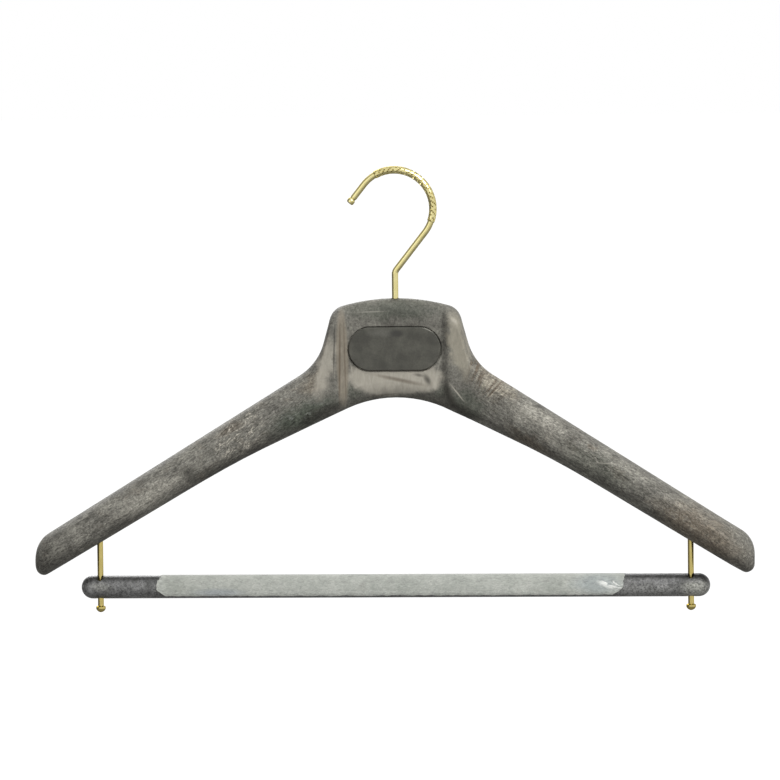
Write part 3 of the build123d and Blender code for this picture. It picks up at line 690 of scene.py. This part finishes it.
# White studio paper: matt and pale, and pure white to the camera. Shiny surfaces mirror it as
# white only from a little way out, so the piece keeps its dark lower edges. It is clear from
# below.
glow_start, glow_full, flag_side = 0.8, 3.0, (-0.995, 0.1, 0)
paper = bpy.data.materials.new("white_studio_paper")
paper.use_nodes = True
paper.node_tree.nodes.clear()
matt = add(paper, "ShaderNodeBsdfDiffuse", {}, {"Color": linear("#8c8c8c")})
glow = add(paper, "ShaderNodeEmission", {}, {"Color": (1, 1, 1, 1), "Strength": 0.92})
rays = add(paper, "ShaderNodeLightPath", {}, {})
ground = add(paper, "ShaderNodeTexCoord", {}, {})
reach = add(paper, "ShaderNodeVectorMath", {"operation": "LENGTH"},
            {0: ground.outputs["Object"]})
far = add(paper, "ShaderNodeMapRange", {"interpolation_type": "SMOOTHSTEP"},
          {"Value": reach.outputs["Value"], "From Min": glow_start, "From Max": glow_full})
aimed = add(paper, "ShaderNodeVectorMath", {"operation": "NORMALIZE"},
            {0: ground.outputs["Object"]})
toward = add(paper, "ShaderNodeVectorMath", {"operation": "DOT_PRODUCT"},
             {0: aimed.outputs[0], 1: flag_side})
flag = add(paper, "ShaderNodeMapRange", {"interpolation_type": "SMOOTHSTEP"},
           {"Value": toward.outputs["Value"], "From Min": 0.45, "From Max": 0.7,
            "To Min": 1.0, "To Max": 0.05})
shown = add(paper, "ShaderNodeMath", {"operation": "MULTIPLY"},
            {0: far.outputs["Result"], 1: flag.outputs["Result"]})
mirrored = add(paper, "ShaderNodeMath", {"operation": "MULTIPLY"},
               {0: shown.outputs[0], 1: rays.outputs["Is Glossy Ray"]})
seen = add(paper, "ShaderNodeMath", {"operation": "MAXIMUM"},
           {0: rays.outputs["Is Camera Ray"], 1: mirrored.outputs[0]})
both = add(paper, "ShaderNodeAddShader", {}, {0: matt.outputs[0], 1: glow.outputs[0]})
choice = add(paper, "ShaderNodeMixShader", {},
             {0: seen.outputs[0], 1: matt.outputs[0], 2: both.outputs[0]})
facing = add(paper, "ShaderNodeNewGeometry", {}, {})
clear = add(paper, "ShaderNodeBsdfTransparent", {}, {})
above = add(paper, "ShaderNodeMixShader", {},
            {0: facing.outputs["Backfacing"], 1: choice.outputs[0], 2: clear.outputs[0]})
add(paper, "ShaderNodeOutputMaterial", {}, {"Surface": above.outputs[0]})
floor_mesh.materials.append(paper)

# The surround is white to the camera and where a shiny surface mirrors it, apart from the flag.
# It lights the piece only weakly, and more from above than from below.
flag_side = (-0.9, 0.12, 0.42)
scene = bpy.context.scene
world = bpy.data.worlds.new("white_studio")
scene.world = world
world.use_nodes = True
world.node_tree.nodes.clear()
rays = add(world, "ShaderNodeLightPath", {}, {})
plainly = add(world, "ShaderNodeMath", {"operation": "MAXIMUM"},
              {0: rays.outputs["Is Camera Ray"], 1: rays.outputs["Is Transmission Ray"]})
sky = add(world, "ShaderNodeTexCoord", {}, {})
toward = add(world, "ShaderNodeVectorMath", {"operation": "DOT_PRODUCT"},
             {0: sky.outputs["Generated"], 1: flag_side})
flag = add(world, "ShaderNodeMapRange", {"interpolation_type": "SMOOTHSTEP"},
           {"Value": toward.outputs["Value"], "From Min": 0.66, "From Max": 0.84,
            "To Min": 0.95, "To Max": 0.0})
mirrored = add(world, "ShaderNodeMath", {"operation": "MULTIPLY"},
               {0: flag.outputs["Result"], 1: rays.outputs["Is Glossy Ray"]})
seen = add(world, "ShaderNodeMath", {"operation": "MAXIMUM"},
           {0: plainly.outputs[0], 1: mirrored.outputs[0]})
height = add(world, "ShaderNodeSeparateXYZ", {}, {0: sky.outputs["Generated"]})
level = add(world, "ShaderNodeMapRange", {},
            {"Value": height.outputs["Z"], "From Min": -0.3, "From Max": 0.9,
             "To Min": 0.12, "To Max": 0.6})
strength = add(world, "ShaderNodeMix", {},
               {0: seen.outputs[0], 2: level.outputs["Result"], 3: 1.0})
surround = add(world, "ShaderNodeBackground", {},
               {"Color": (1, 1, 1, 1), "Strength": strength.outputs[0]})
add(world, "ShaderNodeOutputWorld", {}, {"Surface": surround.outputs[0]})


def soft_lamp(name, spot, aim, width, watts):
    """A square lamp at a spot, turned to shine on the aim."""
    lamp = bpy.data.lights.new(name, "AREA")
    lamp.size = width
    lamp.energy = watts
    held = bpy.data.objects.new(name, lamp)
    held.location = spot
    held.rotation_euler = (Vector(aim) - Vector(spot)).to_track_quat("-Z", "Y").to_euler()
    bpy.context.collection.objects.link(held)


middle = (0, 0, -0.13)
soft_lamp("key_lamp", (1.05, -1.45, 1.42), middle, width=1.3, watts=57)
soft_lamp("fill_lamp", (-1.2, -1.6, 0.5), middle, width=1.2, watts=3)
soft_lamp("back_lamp", (-0.5, 1.8, 1.0), middle, width=1.2, watts=26)

# The camera stands in front, a little to the right of the hanger and above it, and is tipped
# slightly, as in the photograph. The neck's pixel is where that shows the middle of its top.
turn, raise_by, tip = math.radians(4.5), math.radians(3.6), math.radians(0.64)
distance, pixels_per_metre, image_width = 4.2, 1581.5, 780
neck_pixel, neck_height = (395.2, 298.15), -78.7
back = Vector((math.sin(turn) * math.cos(raise_by), -math.cos(turn) * math.cos(raise_by),
               math.sin(raise_by)))
right = Vector((math.cos(turn), math.sin(turn), 0))
up = back.cross(right)
across = right * math.cos(tip) - up * math.sin(tip)
upward = up * math.cos(tip) + right * math.sin(tip)
lens = bpy.data.cameras.new("camera")
lens.sensor_width = 36
lens.lens = pixels_per_metre * distance / image_width * lens.sensor_width
camera = bpy.data.objects.new("camera", lens)
aside = (neck_pixel[0] - image_width / 2) / pixels_per_metre
above = (image_width / 2 - neck_pixel[1]) / pixels_per_metre
neck_middle = Vector((0, 0, neck_height * millimetre))
spot = neck_middle + back * distance - across * aside - upward * above
camera.matrix_world = (Matrix.Translation(spot)
                       @ Matrix((across, upward, back)).transposed().to_4x4())
bpy.context.collection.objects.link(camera)
scene.camera = camera
scene.view_settings.view_transform = "Standard"
